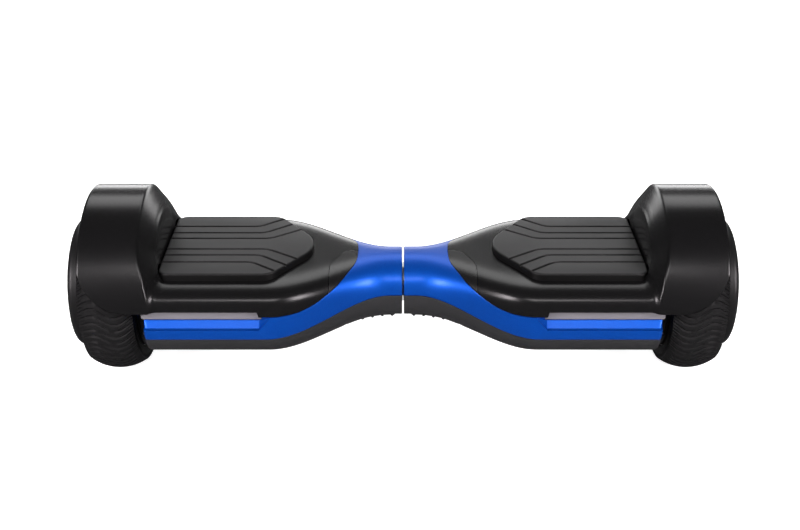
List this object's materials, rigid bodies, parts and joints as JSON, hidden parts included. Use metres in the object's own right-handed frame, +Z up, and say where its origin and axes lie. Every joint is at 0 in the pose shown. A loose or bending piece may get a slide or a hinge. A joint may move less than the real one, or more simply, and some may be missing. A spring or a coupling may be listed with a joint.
{
  "type": "self-balancing two-wheel board",
  "caption": "Self-balancing board: two footed halves that twist about a central tube, each with a hub-motor wheel under a wheel arch, side light bars and a grooved rubber foot pad.",
  "frame": {"origin": "on the floor, midway between the wheels and between front and rear", "axes": "+X along the board from the left wheel to the right wheel, -Y to the front, +Z up"},
  "size_m": [0.626, 0.1882, 0.179],
  "materials": {
    "black_shell": "satin black moulding",
    "blue_paint": "blue metallic paint",
    "dark_shell": "fine-textured dark grey",
    "smoked_lens": "smoked, polished",
    "grip_rubber": "ribbed",
    "clear_lens": "frosted",
    "black_steel": "black oxide",
    "circuit_board": "solder mask",
    "cast_frame": "as cast",
    "steel": "machined",
    "core_steel": "laminated",
    "copper": "enamelled wire",
    "cable": "sleeved",
    "drum_alloy": "turned",
    "magnet": "plated",
    "tyre_rubber": "moulded tread",
    "black_cap": "satin",
    "pad_rubber": "fine-textured",
    "silicone": "soft",
    "bush": "self-lubricating",
    "button_plastic": "satin",
    "port_plastic": "satin",
    "cap_rubber": "matt",
    "battery_wrap": "shrink wrap"
  },
  "bodies": {
    "left_half": {"top_shell_left": "black_shell", "side_band_left": "blue_paint", "bottom_shell_left": "dark_shell", "indicator_lens_left": "smoked_lens", "neck_grip_left": "grip_rubber", "light_lenses_left": "clear_lens", "shell_screws_left": "black_steel", "light_boards_left": "circuit_board", "frame_left": "cast_frame", "gyro_board_left": "circuit_board", "axle_left": "steel", "axle_clamp_left": "cast_frame", "clamp_bolts_left": "black_steel", "stator_core_left": "core_steel", "stator_windings_left": "copper", "motor_cable_left": "cable", "pivot_tube": "steel", "dowel_pins": "steel", "retaining_ring": "black_steel", "main_board": "circuit_board", "charge_port": "port_plastic", "link_cables": "cable"},
    "right_half": {"top_shell_right": "black_shell", "side_band_right": "blue_paint", "bottom_shell_right": "dark_shell", "indicator_lens_right": "smoked_lens", "neck_grip_right": "grip_rubber", "light_lenses_right": "clear_lens", "shell_screws_right": "black_steel", "light_boards_right": "circuit_board", "frame_right": "cast_frame", "gyro_board_right": "circuit_board", "axle_right": "steel", "axle_clamp_right": "cast_frame", "clamp_bolts_right": "black_steel", "stator_core_right": "core_steel", "stator_windings_right": "copper", "motor_cable_right": "cable", "pivot_bushes": "bush", "battery_pack": "battery_wrap"},
    "left_wheel": {"rotor_drum_left": "drum_alloy", "magnet_ring_left": "magnet", "hub_cover_left": "drum_alloy", "cover_screws_left": "steel", "wheel_bearings_left": "steel", "tyre_left": "tyre_rubber", "hub_cap_left": "black_cap"},
    "right_wheel": {"rotor_drum_right": "drum_alloy", "magnet_ring_right": "magnet", "hub_cover_right": "drum_alloy", "cover_screws_right": "steel", "wheel_bearings_right": "steel", "tyre_right": "tyre_rubber", "hub_cap_right": "black_cap"},
    "left_pad": {"foot_pad_left": "pad_rubber", "pad_plungers_left": "silicone"},
    "right_pad": {"foot_pad_right": "pad_rubber", "pad_plungers_right": "silicone"},
    "power_button": {"power_button": "button_plastic"},
    "charge_cap": {"charge_cap": "cap_rubber"}
  },
  "joints": [
    {"name": "centre_twist", "type": "hinge", "parent": "left_half", "child": "right_half", "pos_m": [0, 0, 0.084], "axis": [1, 0, 0], "range_deg": [-14, 14]},
    {"name": "wheel_spin_left", "type": "hinge", "parent": "left_half", "child": "left_wheel", "pos_m": [-0.275, 0, 0.084], "axis": [1, 0, 0], "continuous": true},
    {"name": "pad_press_left", "type": "slide", "parent": "left_half", "child": "left_pad", "axis": [0, 0, -1], "range_m": [0, 0.0015], "stiffness_N_per_m": 6000, "springref_m": -0.0005},
    {"name": "wheel_spin_right", "type": "hinge", "parent": "right_half", "child": "right_wheel", "pos_m": [0.275, 0, 0.084], "axis": [1, 0, 0], "continuous": true},
    {"name": "pad_press_right", "type": "slide", "parent": "right_half", "child": "right_pad", "axis": [0, 0, -1], "range_m": [0, 0.0015], "stiffness_N_per_m": 6000, "springref_m": -0.0005},
    {"name": "button_press", "type": "slide", "parent": "left_half", "child": "power_button", "axis": [0, 0, 1], "range_m": [0, 0.0012], "stiffness_N_per_m": 400, "springref_m": -0.0003},
    {"name": "cap_flap", "type": "hinge", "parent": "left_half", "child": "charge_cap", "pos_m": [-0.1655, 0.031, 0.0336], "axis": [1, 0, 0], "range_deg": [0, 100]}
  ]
}
